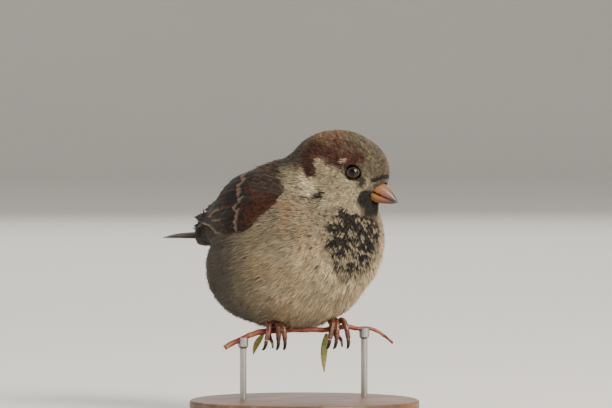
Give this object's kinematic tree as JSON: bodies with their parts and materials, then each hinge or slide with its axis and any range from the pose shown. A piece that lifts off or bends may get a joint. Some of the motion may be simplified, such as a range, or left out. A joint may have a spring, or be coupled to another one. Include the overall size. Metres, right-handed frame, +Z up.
{
  "type": "house sparrow model",
  "caption": "Life-size adult male house sparrow, fluffed up and gripping a short cut twig, held above a round base by two thin rods.",
  "frame": {"origin": "middle of the display base's flat underside", "axes": "+X forward along the trunk from tail to breast, +Y to the bird's left, +Z up; the head is turned a little towards +Y"},
  "size_m": [0.117, 0.084, 0.1042],
  "materials": {
    "feathers_head": "soft brown and grey-buff feathers",
    "feathers_breast": "soft feathers, black with pale fringes at the bib",
    "feathers_belly": "soft grey-buff feathers",
    "feathers_back": "soft dark brown feathers",
    "feathers_wing": "dark brown vanes with chestnut and buff edges",
    "horn_bill": "satin horn, orange at the root",
    "eye": "wet dark brown",
    "leg_scales": "glossy red-brown scutes",
    "claw_horn": "dark horn",
    "bark": "smooth reddish bark",
    "leaf": "matt olive leaf",
    "stand_wood": "dark satin wood",
    "stand_steel": "plain satin steel"
  },
  "bodies": {
    "root": {"head": "feathers_head", "neck": "feathers_head", "breast": "feathers_breast", "back": "feathers_back", "belly": "feathers_belly", "rump": "feathers_belly", "wing_right": "feathers_wing", "wing_left": "feathers_wing", "tail": "feathers_wing", "bill_upper": "horn_bill", "bill_lower": "horn_bill", "eye_right": "eye", "eye_left": "eye", "leg_right": "leg_scales", "leg_left": "leg_scales", "claw_right_inner": "claw_horn", "claw_right_middle": "claw_horn", "claw_right_outer": "claw_horn", "claw_right_hind": "claw_horn", "claw_left_inner": "claw_horn", "claw_left_middle": "claw_horn", "claw_left_outer": "claw_horn", "claw_left_hind": "claw_horn", "perch_twig": "bark", "leaf_near_right_foot": "leaf", "leaf_near_left_foot": "leaf", "stand_base": "stand_wood", "stand_rod_right": "stand_steel", "stand_rod_left": "stand_steel"}
  },
  "joints": []
}
